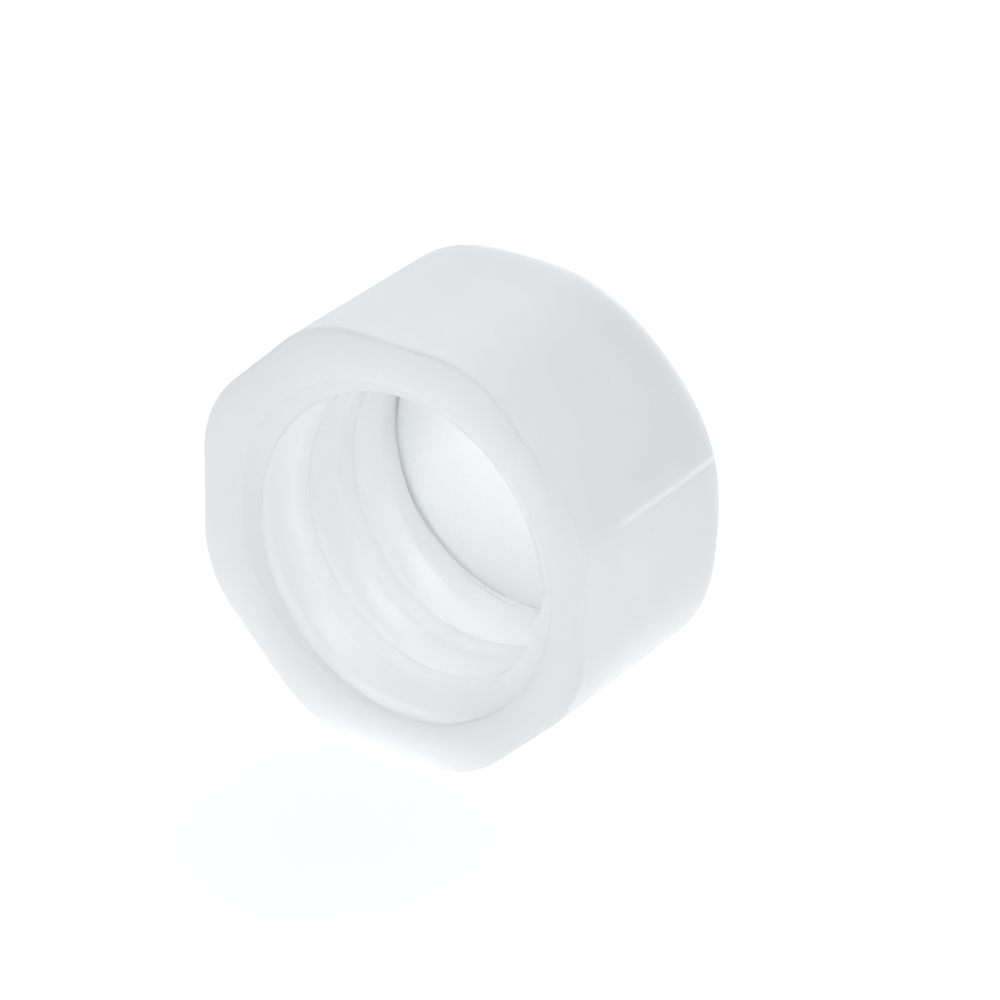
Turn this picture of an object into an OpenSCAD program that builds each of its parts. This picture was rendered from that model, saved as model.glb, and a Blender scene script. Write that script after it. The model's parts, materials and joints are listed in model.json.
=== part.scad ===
// Moulded screw cap for the end of a small plastic pipe: an octagonal one-piece moulding with
// a coarse right-hand thread inside, and a flat sealing disc trapped behind the last thread.
// Units are millimetres. The cap lies on one flat with its mouth facing -Y and its closed end
// facing +Y; the origin is under its middle, on the surface that it lies on.

/* [Thread] */
// Diameter across the bottoms of the thread groove
thread_major_d = 13.0; // [10:0.1:18]
// Radial depth of the thread groove
thread_depth = 0.94; // [0.5:0.02:1.3]
// Distance between neighbouring turns
thread_pitch = 2.65; // [2.2:0.05:3.6]
// Width of the flat bottom of the groove
root_land = 0.6; // [0.2:0.05:0.9]
// Length that each sloping side of the groove takes along the axis
flank_run = 0.6; // [0.3:0.05:0.75]
// Radial width of the 45 degree lead-in at the mouth
lead_in = 0.79; // [0.2:0.01:1.2]

/* [Outside] */
// Wall between the bottom of the groove and the middle of a flat
side_wall = 1.4375; // [0.9:0.0125:3]
// Radius of the eight long corners
corner_r = 4.25; // [1:0.05:4.8]
// Radial width of the bevel round the closed end, at the middle of a flat
bevel_w = 1.66; // [0.6:0.02:2.4]
// Angle between the bevel and the closed end's face
bevel_angle = 41.6; // [25:0.1:50]

/* [Length] */
// Depth from the mouth face to the front of the sealing disc
bore_depth = 8.5; // [6:0.1:14]
// Thickness of the wall that closes the cap
end_wall = 0.9; // [0.7:0.05:3]

/* [Sealing disc] */
// Thickness of the disc
disc_t = 0.6; // [0.4:0.05:1.5]
// How far the seat reaches out behind the thread crest, so that the disc is trapped
seat_undercut = 0.54; // [0.25:0.01:0.8]
// Radial gap between the disc and its seat
disc_gap = 0.1; // [0.05:0.01:0.2]

/* [Mould marks] */
// Radius of the rounded bead where the mould halves meet
seam_r = 0.12; // [0.08:0.01:0.25]
// How far the bead stands proud of the corner
seam_proud = 0.04; // [0.02:0.01:0.08]
// Distance from the mouth face at which the bead fades out
seam_start = 2.1; // [1:0.1:4]
// Diameter of the shallow gate recess in the closed end
gate_d = 3.0; // [2:0.1:5]
// Depth of the gate recess
gate_depth = 0.3; // [0.1:0.05:0.5]
// Diameter of the gate stub left in the recess
stub_d = 1.0; // [0.6:0.1:1.6]
// Height of the gate stub, below the face
stub_h = 0.2; // [0.05:0.05:0.3]

/* [Hidden] */

flats = 8;
flat_angle = 360 / flats;
root_r = thread_major_d / 2;
crest_r = root_r - thread_depth;
mouth_r = crest_r + lead_in;
flat_r = root_r + side_wall;
across_flats = 2 * flat_r;
corner_centre_r = (flat_r - corner_r) / cos(flat_angle / 2);
corner_tip_r = corner_centre_r + corner_r;

seat_r = crest_r + seat_undercut;
disc_r = seat_r - disc_gap;
seat_floor = bore_depth + disc_t;
cap_length = seat_floor + end_wall;
bevel_slope = tan(bevel_angle);

// The two corners, a half turn apart, that lie on the mould's parting plane
seam_angles = [-flat_angle / 2, 180 - flat_angle / 2];

// The groove starts bluntly in the mouth face and ends at the seat. Its centre line
// crosses the mouth face at angle 0.
steps_per_turn = 60;
step_angle = 360 / steps_per_turn;
groove_start_angle = -6;
groove_reach = 0.2; // how far the cutter stands inside the bore wall
cutter_half_w = root_land / 2 + flank_run * (thread_depth + groove_reach) / thread_depth;
groove_end_angle = 360 * (bore_depth + cutter_half_w) / thread_pitch;
groove_steps = ceil((groove_end_angle - groove_start_angle) / step_angle);

over = 1; // how far cutters run past a face
join = 0.0005; // how far a corner's round stands past the flats, so that the two truly cross
round_fn = 96;

// The groove's cross-section as [radius, distance along the axis]
groove_profile = [
    [crest_r - groove_reach, -cutter_half_w],
    [root_r, -root_land / 2],
    [root_r, root_land / 2],
    [crest_r - groove_reach, cutter_half_w]
];

function groove_ring(i) =
    let (a = groove_start_angle + i * step_angle, z = thread_pitch * a / 360)
    [for (p = groove_profile) [p[0] * cos(a), p[0] * sin(a), z + p[1]]];

// Joins each ring of n points to the next and closes both ends.
function tube_faces(rings, n) = concat(
    [[for (j = [n - 1:-1:0]) j]],
    [for (i = [0:rings - 2], j = [0:n - 1])
        let (a = n * i + j, b = n * i + (j + 1) % n)
        each [[a, b, b + n], [a, b + n, a + n]]],
    [[for (j = [0:n - 1]) n * (rings - 1) + j]]
);

// The tangent points of one corner's arc with its two flats
function corner_tangents(k) =
    let (c = (k + 0.5) * flat_angle)
    [for (side = [0, 1])
        let (t = (k + side) * flat_angle)
        [corner_centre_r * cos(c) + corner_r * cos(t), corner_centre_r * sin(c) + corner_r * sin(t)]];

// Stands the cap's own axis, which the modules below build along +Z from the mouth, along +Y.
module lying() {
    translate([0, -cap_length / 2, flat_r]) rotate([-90, 0, 0]) children();
}

module octagon() {
    polygon([for (k = [0:flats - 1]) each corner_tangents(k)]);
    for (k = [0:flats - 1])
        rotate((k + 0.5) * flat_angle) translate([corner_centre_r, 0]) circle(r = corner_r + join, $fn = round_fn);
}

module parting_bead() {
    translate([corner_tip_r + seam_proud - seam_r, 0, seam_start])
        cylinder(r = seam_r, h = cap_length - seam_start, $fn = 24);
}

// Everything inside the bevelled closed end: a cylinder up to the bevel and a cone above it.
module bevel_envelope() {
    wide = flat_r + corner_tip_r;
    rotate_extrude($fn = round_fn)
        polygon([
            [0, -over],
            [wide, -over],
            [wide, cap_length - (wide - flat_r + bevel_w) * bevel_slope],
            [flat_r - bevel_w, cap_length],
            [0, cap_length]
        ]);
}

module outer_shape() {
    intersection() {
        union() {
            linear_extrude(cap_length) octagon();
            for (a = seam_angles) rotate(a) parting_bead();
        }
        bevel_envelope();
    }
}

// The plain bore with its lead-in, and the wider seat at the bottom
module bore_cutter() {
    rotate_extrude($fn = round_fn)
        polygon([
            [0, -over],
            [mouth_r + over, -over],
            [crest_r, lead_in],
            [crest_r, bore_depth],
            [seat_r, bore_depth],
            [seat_r, seat_floor],
            [0, seat_floor]
        ]);
}

module groove_cutter() {
    intersection() {
        polyhedron([for (i = [0:groove_steps]) each groove_ring(i)],
            tube_faces(groove_steps + 1, len(groove_profile)));
        translate([0, 0, -cap_length]) cylinder(r = root_r + over, h = cap_length + bore_depth, $fn = round_fn);
    }
}

module gate_cutter() {
    translate([0, 0, cap_length - gate_depth]) difference() {
        cylinder(d = gate_d, h = gate_depth + over, $fn = round_fn);
        translate([0, 0, -over]) cylinder(d = stub_d, h = over + stub_h, $fn = round_fn);
    }
}

module cap_body() {
    color([0.90, 0.92, 0.93]) lying() difference() {
        outer_shape();
        bore_cutter();
        groove_cutter();
        gate_cutter();
    }
}

module sealing_disc() {
    color([0.97, 0.97, 0.98]) lying()
        translate([0, 0, bore_depth]) cylinder(r = disc_r, h = disc_t, $fn = round_fn);
}

cap_body();
sealing_disc();
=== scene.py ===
import json
import math

import bpy
import numpy as np
from mathutils import Matrix, Vector


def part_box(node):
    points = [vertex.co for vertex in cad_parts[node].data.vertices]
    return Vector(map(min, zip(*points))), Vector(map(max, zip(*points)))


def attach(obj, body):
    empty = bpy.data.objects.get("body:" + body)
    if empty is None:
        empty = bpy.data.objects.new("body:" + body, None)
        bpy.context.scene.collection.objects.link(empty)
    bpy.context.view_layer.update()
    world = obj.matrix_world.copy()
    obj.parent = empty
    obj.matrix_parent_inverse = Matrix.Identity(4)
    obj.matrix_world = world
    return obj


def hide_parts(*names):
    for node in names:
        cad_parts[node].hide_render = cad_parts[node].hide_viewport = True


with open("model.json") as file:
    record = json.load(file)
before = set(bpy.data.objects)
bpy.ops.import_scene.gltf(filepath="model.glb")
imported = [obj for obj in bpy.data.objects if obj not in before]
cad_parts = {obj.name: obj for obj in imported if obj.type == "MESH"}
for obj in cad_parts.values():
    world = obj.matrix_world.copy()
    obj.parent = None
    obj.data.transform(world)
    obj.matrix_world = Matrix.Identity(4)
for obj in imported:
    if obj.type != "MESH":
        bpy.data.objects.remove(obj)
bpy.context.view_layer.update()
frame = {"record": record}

# ---------------------------------------------------------------- sizes, in millimetres

MM = 0.001


def millimetres(corner):
    return Vector(corner) / MM


def mount_size(name, key):
    """A stated size of one of the record's mounts."""
    return next(m for m in frame["record"]["mounts"] if m["name"] == name)["dims"][key]


body_low, body_high = map(millimetres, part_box("cap_body"))
disc_low, disc_high = map(millimetres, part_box("sealing_disc"))

LENGTH = body_high.y - body_low.y
FLAT_R = (body_high.z - body_low.z) / 2     # from the axis to the middle of a flat
AXIS_Z = body_low.z + FLAT_R
MOUTH_Y = body_low.y
ROOT_R = mount_size("pipe_thread", "r_mm")  # bottoms of the thread groove
CREST_R = mount_size("seal_face", "r_mm")   # the bore that the groove is cut in
BORE_DEPTH = disc_low.y - MOUTH_Y
DISC_R = (disc_high.x - disc_low.x) / 2
DISC_T = disc_high.y - disc_low.y

# Outside
FLATS = 8
CORNER_R = 4.25         # round of the eight long corners
BEVEL_W = 1.66          # radial width of the bevel at the middle of a flat
BEVEL_SLOPE = math.tan(math.radians(41.6))
MOUTH_EDGE = 0.16       # rounds of the edges, measured along each side
BEVEL_EDGE = 0.45
END_EDGE = 0.55

# Thread
PITCH = 2.65
ROOT_LAND = 0.6         # flat bottom of the groove
FLANK_RUN = 0.6         # length of each sloping side along the axis
LEAD_IN = 0.79          # 45 degree cone at the mouth
GROOVE_START = -6       # the blunt start of the groove, in degrees of its helix
START_BLUR = 0.9        # degrees over which it rises
ROOT_ROUND = 0.14       # rounds of the thread's corners, measured along the axis
CREST_ROUND = 0.10
LIP_EDGE = 0.14         # round between the mouth face and the lead-in
LEAD_IN_ROUND = 0.12    # softening where the lead-in meets the bore
GROOVE_BLEND = 0.05     # and where the groove meets the lead-in or the bore

# Seat of the sealing disc
SEAT_R = DISC_R + 0.1
SEAT_GAP = 0.02         # clearance above and below the disc
SEAT_TOP = BORE_DEPTH - SEAT_GAP
SEAT_FLOOR = BORE_DEPTH + DISC_T + SEAT_GAP
SEAT_EDGE = 0.05        # rounds of the seat's corners
SEAT_RIM_EDGE = 0.03
SEAT_FLOOR_EDGE = 0.08
LINER_EDGE = 0.1        # round of the disc's two edges

# Mould marks
SEAM_ANGLES = (-18.75, 161.25)      # the parting line, a little to one side of two opposite corners
SEAM_R = 0.12           # radius of the bead along it
SEAM_PROUD = 0.07
SEAM_START = 2.1        # where it begins, from the mouth face
SEAM_FADE = 0.5         # length over which it rises
SEAM_EVEN = 0.8         # the rest of its height comes and goes along its length
SEAM_HIGHLIGHT_REACH = 0.07, 0.16             # distances from its middle where its painted highlight starts to fade and ends
SIDE_TOLERANCE = 0.02   # rows this near the octagon carry the bead
GATE_R = 1.5
GATE_DEPTH = 0.3
GATE_EDGE = 0.10
GATE_FLOOR_EDGE = 0.12
STUB_R = 0.5
STUB_H = 0.2
STUB_EDGE = 0.06

BORE_ROWS = 116         # rows of mesh down the thread

# ---------------------------------------------------------------- materials, lights and camera

# Two colours that each plastic wanders between
CAP_COLOURS = (0.946, 0.958, 0.963), (0.966, 0.975, 0.979)
# painted highlight: the whiter colour laid along the parting line
SEAM_HIGHLIGHT_COLOUR = (0.985, 0.995, 1)
DISC_COLOURS = (0.875, 0.882, 0.886), (0.90, 0.905, 0.908)
CAP_SCATTER = 0.006     # how far light travels inside the plastic, in metres
DISC_SCATTER = 0.0003
CAP_CLEARNESS = 0.25    # share of the light that passes without scattering

FLOOR_R = 3.0           # metres
FLOOR_DROP = 0.00002
FLOOR_GREY = 0.9
FLOOR_GLOW = 0.46

SKY_TINT = (0.945, 0.985, 1.0)
SKY_BASE = 0.01
SKY_FALL = 3.0          # how fast a lobe fades away from its middle
SKY_LOBES = ((45, 20, 0.77), (180, 20, 2.12), (225, 20, 0.61), (300, 20, 0.44))   # azimuth, elevation, level

KEY_LIGHT = {"azimuth": -2, "elevation": 26, "distance": 0.30, "size": 0.07, "power": 0.145}
MOUTH_LIGHT = {"azimuth": 0, "elevation": 0, "distance": 0.00485, "size": 0.0096, "power": 0.00019}
LIGHT_BOUNCES = 18      # light goes round many times inside a white cavity

CAMERA_AZIMUTH, CAMERA_ELEVATION = 34.94, 29.11
CAMERA_DISTANCE = 0.16175           # metres from the middle of the mouth
CAMERA_LENS = 171.57
CAMERA_ROLL, CAMERA_PAN, CAMERA_TILT = 0.619, -1.326, 0.643


# ---------------------------------------------------------------- mesh helpers

def ramp(x, half_width):
    """max(0, x) with its corner rounded over half_width each way."""
    rounded = (x + half_width) ** 2 / (4 * half_width)
    return np.where(x < -half_width, 0, np.where(x > half_width, x, rounded))


def smooth_step(x):
    x = np.clip(x, 0, 1)
    return x * x * (3 - 2 * x)


def rounded_rows(before, corner, after, edge, count):
    """Rows that turn the corner of a profile on a smooth curve, edge away from it on each side."""
    def point_towards(other):
        step = other - corner
        size = np.maximum(np.linalg.norm(step, axis=0), 1e-9)
        return corner + step * np.minimum(edge, size * 0.45) / size

    start, end = point_towards(before), point_towards(after)
    rows = []
    for t in np.linspace(0, 1, count):
        rows.append((1 - t) ** 2 * start + 2 * t * (1 - t) * corner + t ** 2 * end)
    return rows


def straight_rows(start, end, count):
    """The rows between start and end, without either."""
    return [start + (end - start) * (i + 1) / (count + 1) for i in range(count)]


def lathe(name, rows, angles):
    """A closed mesh from rows of (radius, depth) for each angle, with a pole at each end.

    Depth runs from the mouth along the cap's axis, +Y. Angle 0 is +X and -90 is up.
    """
    grid = np.array(rows)
    cos, sin = np.cos(np.radians(angles)), np.sin(np.radians(angles))
    columns = len(angles)
    around = np.stack([
        grid[:, 0] * cos,
        grid[:, 1] + MOUTH_Y,
        AXIS_Z - grid[:, 0] * sin,
    ], axis=-1)
    verts = around[1:-1].reshape(-1, 3).tolist()
    first_pole, last_pole = len(verts), len(verts) + 1
    verts += [around[0, 0].tolist(), around[-1, 0].tolist()]
    faces = []
    bands = len(rows) - 3
    for i in range(bands):
        for j in range(columns):
            k = (j + 1) % columns
            this_row, next_row = i * columns, (i + 1) * columns
            faces.append((this_row + j, next_row + j, next_row + k, this_row + k))
    for j in range(columns):
        k = (j + 1) % columns
        faces.append((first_pole, j, k))
        faces.append((last_pole, bands * columns + k, bands * columns + j))
    mesh = bpy.data.meshes.new(name)
    mesh.from_pydata([Vector(v) * MM for v in verts], [], faces)
    mesh.validate()
    mesh.polygons.foreach_set("use_smooth", [True] * len(mesh.polygons))
    piece = bpy.data.objects.new(name, mesh)
    bpy.context.scene.collection.objects.link(piece)
    return piece


# ---------------------------------------------------------------- cap shell

def column_angles():
    """Every degree, and finer where a bead or the start of the groove crosses."""
    fine = [np.arange(0, 360, 1.0)]
    for centre, reach, step in [(a, 1.0, 0.125) for a in SEAM_ANGLES] + [(GROOVE_START, 1.0, 0.25)]:
        fine.append(np.arange(centre - reach, centre + reach + step / 2, step))
    return np.unique(np.round(np.concatenate(fine) % 360, 4))


def octagon_radius(angles):
    """From the axis to the octagon with rounded corners."""
    half = 180 / FLATS
    off = np.radians((angles + half) % (2 * half) - half)         # from the middle of the nearest flat
    corner = np.radians(half)
    centre_r = (FLAT_R - CORNER_R) / math.cos(corner)
    flat = FLAT_R / np.cos(off)
    swing = corner - np.abs(off)                                  # from the nearest corner
    arc = centre_r * np.cos(swing) + np.sqrt(CORNER_R ** 2 - (centre_r * np.sin(swing)) ** 2)
    on_flat = FLAT_R * np.tan(np.abs(off)) < centre_r * math.sin(corner)
    return np.where(on_flat, flat, arc)


def seam_height(angles, depth):
    """How far the parting bead stands proud, a little uneven along its length."""
    tip = octagon_radius(np.array([SEAM_ANGLES[0]]))[0]
    rise = np.zeros_like(angles)
    for centre in SEAM_ANGLES:
        off = (angles - centre + 180) % 360 - 180
        across = tip * np.radians(off)
        circle = np.sqrt(np.maximum(SEAM_R ** 2 - across ** 2, 0)) - (SEAM_R - SEAM_PROUD)
        rise = np.maximum(rise, circle)
    uneven = SEAM_EVEN + (1 - SEAM_EVEN) * np.sin(depth * 4.1 + 0.6) * np.sin(depth * 9.7)
    fade = smooth_step((depth - SEAM_START) / SEAM_FADE)
    return rise * uneven * fade


def groove_radius(angles, depth):
    """Radius of the helical groove at each angle, at one depth, or the crest radius where there is none."""
    radius = np.full_like(angles, CREST_R)
    turns = math.ceil(BORE_DEPTH / PITCH) + 1
    for turn in range(-1, turns):
        helix = angles + 360 * turn
        off = np.abs(depth - PITCH * helix / 360)
        cut = ramp(ROOT_LAND / 2 + FLANK_RUN - off, CREST_ROUND) - ramp(ROOT_LAND / 2 - off, ROOT_ROUND)
        begun = smooth_step((helix - GROOVE_START) / START_BLUR + 0.5)
        radius = np.maximum(radius, CREST_R + (ROOT_R - CREST_R) * begun * cut / FLANK_RUN)
    return radius


def bore_radius(angles, depth):
    """The bore's wall at each angle, at one depth: the lead-in cone, the crests and the groove."""
    cone = CREST_R + ramp(np.full_like(angles, LEAD_IN - depth), LEAD_IN_ROUND)
    return cone + ramp(groove_radius(angles, depth) - cone, GROOVE_BLEND)


def cap_shell():
    """The moulding, from the gate stub over the outside, in at the mouth and down to the seat's floor."""
    angles = column_angles()
    ones = np.ones_like(angles)
    side = octagon_radius(angles)
    bevel_top = FLAT_R - BEVEL_W
    bevel_foot = LENGTH - (side - bevel_top) * BEVEL_SLOPE

    def ring(radius, depth):
        return np.array([radius * ones, depth * ones])

    recess = LENGTH - GATE_DEPTH
    stub_top = recess + STUB_H
    deep = SEAT_TOP - SEAT_EDGE
    bore_at_seat = bore_radius(angles, deep)

    # Corners of the profile: (radius and depth, its round, rows in the round, rows to the next corner)
    outline = [
        (ring(0, stub_top), 0, 1, 3),
        (ring(STUB_R, stub_top), STUB_EDGE, 4, 1),
        (ring(STUB_R, recess), STUB_EDGE, 4, 4),
        (ring(GATE_R, recess), GATE_FLOOR_EDGE, 5, 1),
        (ring(GATE_R, LENGTH), GATE_EDGE, 5, 9),
        (ring(bevel_top, LENGTH), END_EDGE, 7, 5),
        (ring(side, bevel_foot), BEVEL_EDGE, 7, 30),
        (ring(side, 0), MOUTH_EDGE, 7, 8),
        (ring(bore_radius(angles, 0.0), 0), LIP_EDGE, 7, 0),
        (ring(bore_radius(angles, LIP_EDGE), LIP_EDGE), 0, 1, 0),
    ]
    inner = [
        (ring(bore_at_seat, deep), 0, 1, 0),
        (ring(bore_at_seat, SEAT_TOP), SEAT_EDGE, 3, 2),
        (ring(SEAT_R, SEAT_TOP), SEAT_RIM_EDGE, 3, 3),
        (ring(SEAT_R, SEAT_FLOOR), SEAT_FLOOR_EDGE, 4, 10),
        (ring(0, SEAT_FLOOR), 0, 1, 0),
    ]

    def rows_of(corners):
        rows = []
        for i, (corner, edge, count, between) in enumerate(corners):
            before = corners[i - 1][0] if i else corner
            after = corners[i + 1][0] if i + 1 < len(corners) else corner
            turn = [corner] if count == 1 else rounded_rows(before, corner, after, edge, count)
            if rows:
                rows += straight_rows(rows[-1], turn[0], corners[i - 1][3])
            rows += turn
        return rows

    depths = np.linspace(LIP_EDGE, deep, BORE_ROWS)[1:-1]
    bore = [ring(bore_radius(angles, d), d) for d in depths]
    rows = rows_of(outline) + bore + rows_of(inner)
    for row in rows:
        on_side = np.abs(row[0] - side) < SIDE_TOLERANCE
        row[0] = row[0] + seam_height(angles, row[1]) * on_side
    return lathe("cap_shell", rows, angles)


def liner():
    """The sealing disc, flat on both sides."""
    angles = np.arange(0, 360, 3.0)

    def ring(radius, depth):
        return np.array([radius * np.ones_like(angles), depth * np.ones_like(angles)])

    front, back = BORE_DEPTH, BORE_DEPTH + DISC_T
    flat_r, inner_r = DISC_R - LINER_EDGE, 0.3
    rows = [ring(0, back)] + [ring(r, back) for r in np.linspace(inner_r, flat_r, 12)]
    rows += rounded_rows(ring(0, back), ring(DISC_R, back), ring(DISC_R, front), LINER_EDGE, 5)[1:]
    rows += rounded_rows(ring(DISC_R, back), ring(DISC_R, front), ring(0, front), LINER_EDGE, 5)
    rows += [ring(r, front) for r in np.linspace(flat_r, inner_r, 24)[1:]] + [ring(0, front)]
    return lathe("disc_liner", rows, angles)


shell = cap_shell()
disc = liner()

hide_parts("cap_body")
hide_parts("sealing_disc")
for piece, slot in ((shell, "cap_plastic"), (disc, "disc_plastic")):
    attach(piece, "root")


# ---------------------------------------------------------------- materials

class Nodes:
    """A material's node tree, with short calls to add nodes and join them."""

    def __init__(self, name):
        self.material = bpy.data.materials.new(name)
        self.material.use_nodes = True
        self.tree = self.material.node_tree
        self.shader = self.tree.nodes["Principled BSDF"]

    def add(self, kind, inputs=None, **settings):
        node = self.tree.nodes.new("ShaderNode" + kind)
        for key, value in settings.items():
            setattr(node, key, value)
        for key, value in (inputs or {}).items():
            socket = node.inputs[key]
            if isinstance(value, bpy.types.NodeSocket):
                self.tree.links.new(value, socket)
            else:
                socket.default_value = value
        return node

    def set(self, **values):
        for key, value in values.items():
            socket = self.shader.inputs[key.replace("_", " ")]
            if isinstance(value, bpy.types.NodeSocket):
                self.tree.links.new(value, socket)
            else:
                socket.default_value = value

    def place(self):
        """Coordinates in millimetres that stay with the piece."""
        coords = self.add("TexCoord")
        return self.add("VectorMath", {0: coords.outputs["Object"], 1: (1000, 1000, 1000)},
                        operation="MULTIPLY").outputs[0]

    def noise(self, place, scale, detail=2.0, roughness=0.5):
        return self.add("TexNoise", {"Vector": place, "Scale": scale, "Detail": detail,
                                     "Roughness": roughness}).outputs["Fac"]

    def spread(self, value, low, high, start=0.3, end=0.7):
        """The range start..end mapped to low..high, and held at both ends."""
        return self.add("MapRange", {"Value": value, "From Min": start, "From Max": end,
                                     "To Min": low, "To Max": high}).outputs["Result"]

    def blend(self, factor, first, second):
        """Two colours mixed; the first may be another node's colour."""
        if not isinstance(first, bpy.types.NodeSocket):
            first = (*first, 1)
        return self.add("Mix", {0: factor, 6: first, 7: (*second, 1)}, data_type="RGBA").outputs[2]

    def combine(self, operation, first, second):
        return self.add("Math", {0: first, 1: second}, operation=operation).outputs[0]


def seam_highlight_mask(m, place):
    """1 along the parting line, where a painted highlight makes the plastic whiter, and 0 away from it."""
    tip = octagon_radius(np.array([SEAM_ANGLES[0]]))[0]
    flat_place = m.add("VectorMath", {0: place, 1: (1, 0, 1)}, operation="MULTIPLY").outputs[0]
    total = 0.0
    for angle in SEAM_ANGLES:
        a = math.radians(angle)
        line = (tip * math.cos(a), 0, AXIS_Z - tip * math.sin(a))
        away = m.add("VectorMath", {0: flat_place, 1: line}, operation="DISTANCE").outputs["Value"]
        near = m.spread(away, 1, 0, *SEAM_HIGHLIGHT_REACH)
        total = m.combine("ADD", near, total)
    depth = m.add("SeparateXYZ", {0: place}).outputs["Y"]
    begun = m.spread(depth, 0, 1, MOUTH_Y + SEAM_START, MOUTH_Y + SEAM_START + SEAM_FADE)
    return m.combine("MULTIPLY", total, begun)


def cap_plastic():
    """Milky translucent plastic with slow flow changes, a satin grain and a painted highlight along the
    parting line.
    """
    m = Nodes("cap_plastic")
    place = m.place()
    flow = m.noise(place, 0.16, 3)
    grain = m.noise(place, 9.0, 3, 0.6)
    waves = m.noise(place, 0.7, 2)
    seam_highlight = seam_highlight_mask(m, place)
    colour = m.blend(m.spread(flow, 0, 1), *CAP_COLOURS)
    # painted highlight: the colour turns whiter along the parting line
    colour = m.blend(seam_highlight, colour, SEAM_HIGHLIGHT_COLOUR)
    height = m.combine("ADD", m.combine("MULTIPLY", waves, 3.0), grain)
    bump = m.add("Bump", {"Height": height, "Strength": 0.5, "Distance": 0.000006})
    m.set(Base_Color=colour, Roughness=m.spread(grain, 0.31, 0.38), IOR=1.49,
          # the plastic is less clear along the parting line, which is part of the same painted highlight
          Transmission_Weight=m.spread(seam_highlight, CAP_CLEARNESS, 0, 0, 1),
          Subsurface_Weight=1.0, Subsurface_Scale=CAP_SCATTER, Subsurface_Radius=(1.0, 1.0, 1.0),
          Normal=bump.outputs[0])
    m.shader.subsurface_method = "RANDOM_WALK"
    return m.material


def disc_plastic():
    """Soft white sheet with a fine grain."""
    m = Nodes("disc_plastic")
    place = m.place()
    grain = m.noise(place, 6.0, 3, 0.6)
    colour = m.blend(m.spread(grain, 0, 1), *DISC_COLOURS)
    bump = m.add("Bump", {"Height": grain, "Strength": 0.4, "Distance": 0.000008})
    m.set(Base_Color=colour, Roughness=0.6, IOR=1.45, Subsurface_Weight=1.0,
          Subsurface_Scale=DISC_SCATTER, Subsurface_Radius=(1.0, 1.0, 1.0), Normal=bump.outputs[0])
    return m.material


def floor_paper():
    """Pale paper that glows a little, so the ground stays white under the object."""
    m = Nodes("floor_paper")
    m.set(Base_Color=(FLOOR_GREY, FLOOR_GREY, FLOOR_GREY, 1), Roughness=0.9, Specular_IOR_Level=0.0,
          Emission_Color=(1, 1, 1, 1), Emission_Strength=FLOOR_GLOW)
    return m.material


shell.data.materials.append(cap_plastic())
disc.data.materials.append(disc_plastic())


# ---------------------------------------------------------------- floor, lights and camera

MOUTH = Vector((0, MOUTH_Y, AXIS_Z)) * MM


def direction(azimuth, elevation):
    """Unit vector that points away from the object: azimuth 0 is -Y, 90 is +X."""
    a, e = math.radians(azimuth), math.radians(elevation)
    return Vector((math.sin(a) * math.cos(e), -math.cos(a) * math.cos(e), math.sin(e)))


def make_floor():
    r = FLOOR_R
    mesh = bpy.data.meshes.new("floor")
    mesh.from_pydata([(-r, -r, 0), (r, -r, 0), (r, r, 0), (-r, r, 0)], [], [(0, 1, 2, 3)])
    floor = bpy.data.objects.new("floor", mesh)
    floor.location.z = -FLOOR_DROP
    bpy.context.scene.collection.objects.link(floor)
    mesh.materials.append(floor_paper())


def soft_light(name, azimuth, elevation, distance, size, power):
    """A round soft light that shines at the middle of the cap's axis."""
    data = bpy.data.lights.new(name, "AREA")
    data.shape = "DISK"
    data.size = size
    data.energy = power
    lamp = bpy.data.objects.new(name, data)
    towards = direction(azimuth, elevation)
    lamp.location = Vector((0, 0, AXIS_Z * MM)) + towards * distance
    lamp.rotation_mode = "QUATERNION"
    lamp.rotation_quaternion = towards.to_track_quat("Z", "Y")
    bpy.context.scene.collection.objects.link(lamp)
    return lamp


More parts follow.
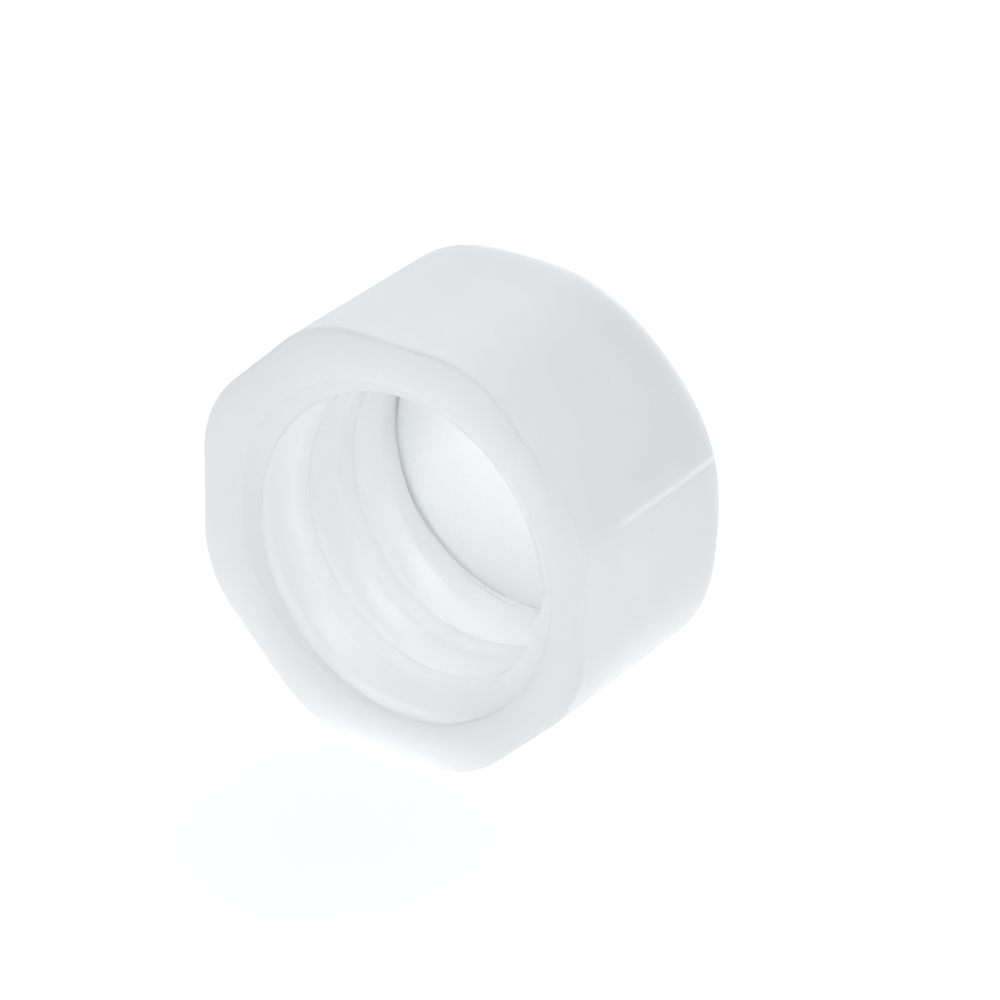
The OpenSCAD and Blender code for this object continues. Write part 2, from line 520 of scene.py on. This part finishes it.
def make_world():
    """Studio surroundings: a few broad lobes of pale light, the brightest of them behind the object."""
    world = bpy.data.worlds.new("studio")
    world.use_nodes = True
    tree = world.node_tree

    def combine(operation, *values):
        node = tree.nodes.new("ShaderNodeMath")
        node.operation = operation
        for socket, value in zip(node.inputs, values):
            if isinstance(value, bpy.types.NodeSocket):
                tree.links.new(value, socket)
            else:
                socket.default_value = value
        return node.outputs[0]

    coords = tree.nodes.new("ShaderNodeTexCoord")
    total = SKY_BASE
    for azimuth, elevation, level in SKY_LOBES:
        along = tree.nodes.new("ShaderNodeVectorMath")
        along.operation = "DOT_PRODUCT"
        along.inputs[1].default_value = direction(azimuth, elevation)
        tree.links.new(coords.outputs["Generated"], along.inputs[0])
        facing = combine("MAXIMUM", along.outputs["Value"], 0.0)
        lobe = combine("MULTIPLY", combine("POWER", facing, SKY_FALL), level)
        total = combine("ADD", lobe, total)
    background = tree.nodes["Background"]
    background.inputs["Color"].default_value = (*SKY_TINT, 1)
    tree.links.new(total, background.inputs["Strength"])
    bpy.context.scene.world = world


def make_camera():
    """A view along one direction, turned a little to place the cap in the frame."""
    data = bpy.data.cameras.new("camera")
    data.sensor_width = 36
    data.lens = CAMERA_LENS
    data.clip_start, data.clip_end = 0.001, 20
    camera = bpy.data.objects.new("camera", data)
    back = direction(CAMERA_AZIMUTH, CAMERA_ELEVATION)
    camera.location = MOUTH + back * CAMERA_DISTANCE
    level = back.to_track_quat("Z", "Y").to_matrix()
    roll = Matrix.Rotation(math.radians(CAMERA_ROLL), 3, "Z")
    pan = Matrix.Rotation(math.radians(CAMERA_PAN), 3, "Y")
    tilt = Matrix.Rotation(math.radians(CAMERA_TILT), 3, "X")
    camera.rotation_mode = "QUATERNION"
    camera.rotation_quaternion = (level @ roll @ pan @ tilt).to_quaternion()
    bpy.context.scene.collection.objects.link(camera)
    bpy.context.scene.camera = camera


make_floor()
make_world()
soft_light("key", **KEY_LIGHT)
mouth_fill = soft_light("mouth_fill", **MOUTH_LIGHT)    # just inside the mouth, shining into the bore
mouth_fill.visible_camera = False
make_camera()
bpy.context.scene.view_settings.view_transform = "Standard"
bpy.context.scene.cycles.max_bounces = LIGHT_BOUNCES
bpy.context.scene.cycles.diffuse_bounces = LIGHT_BOUNCES
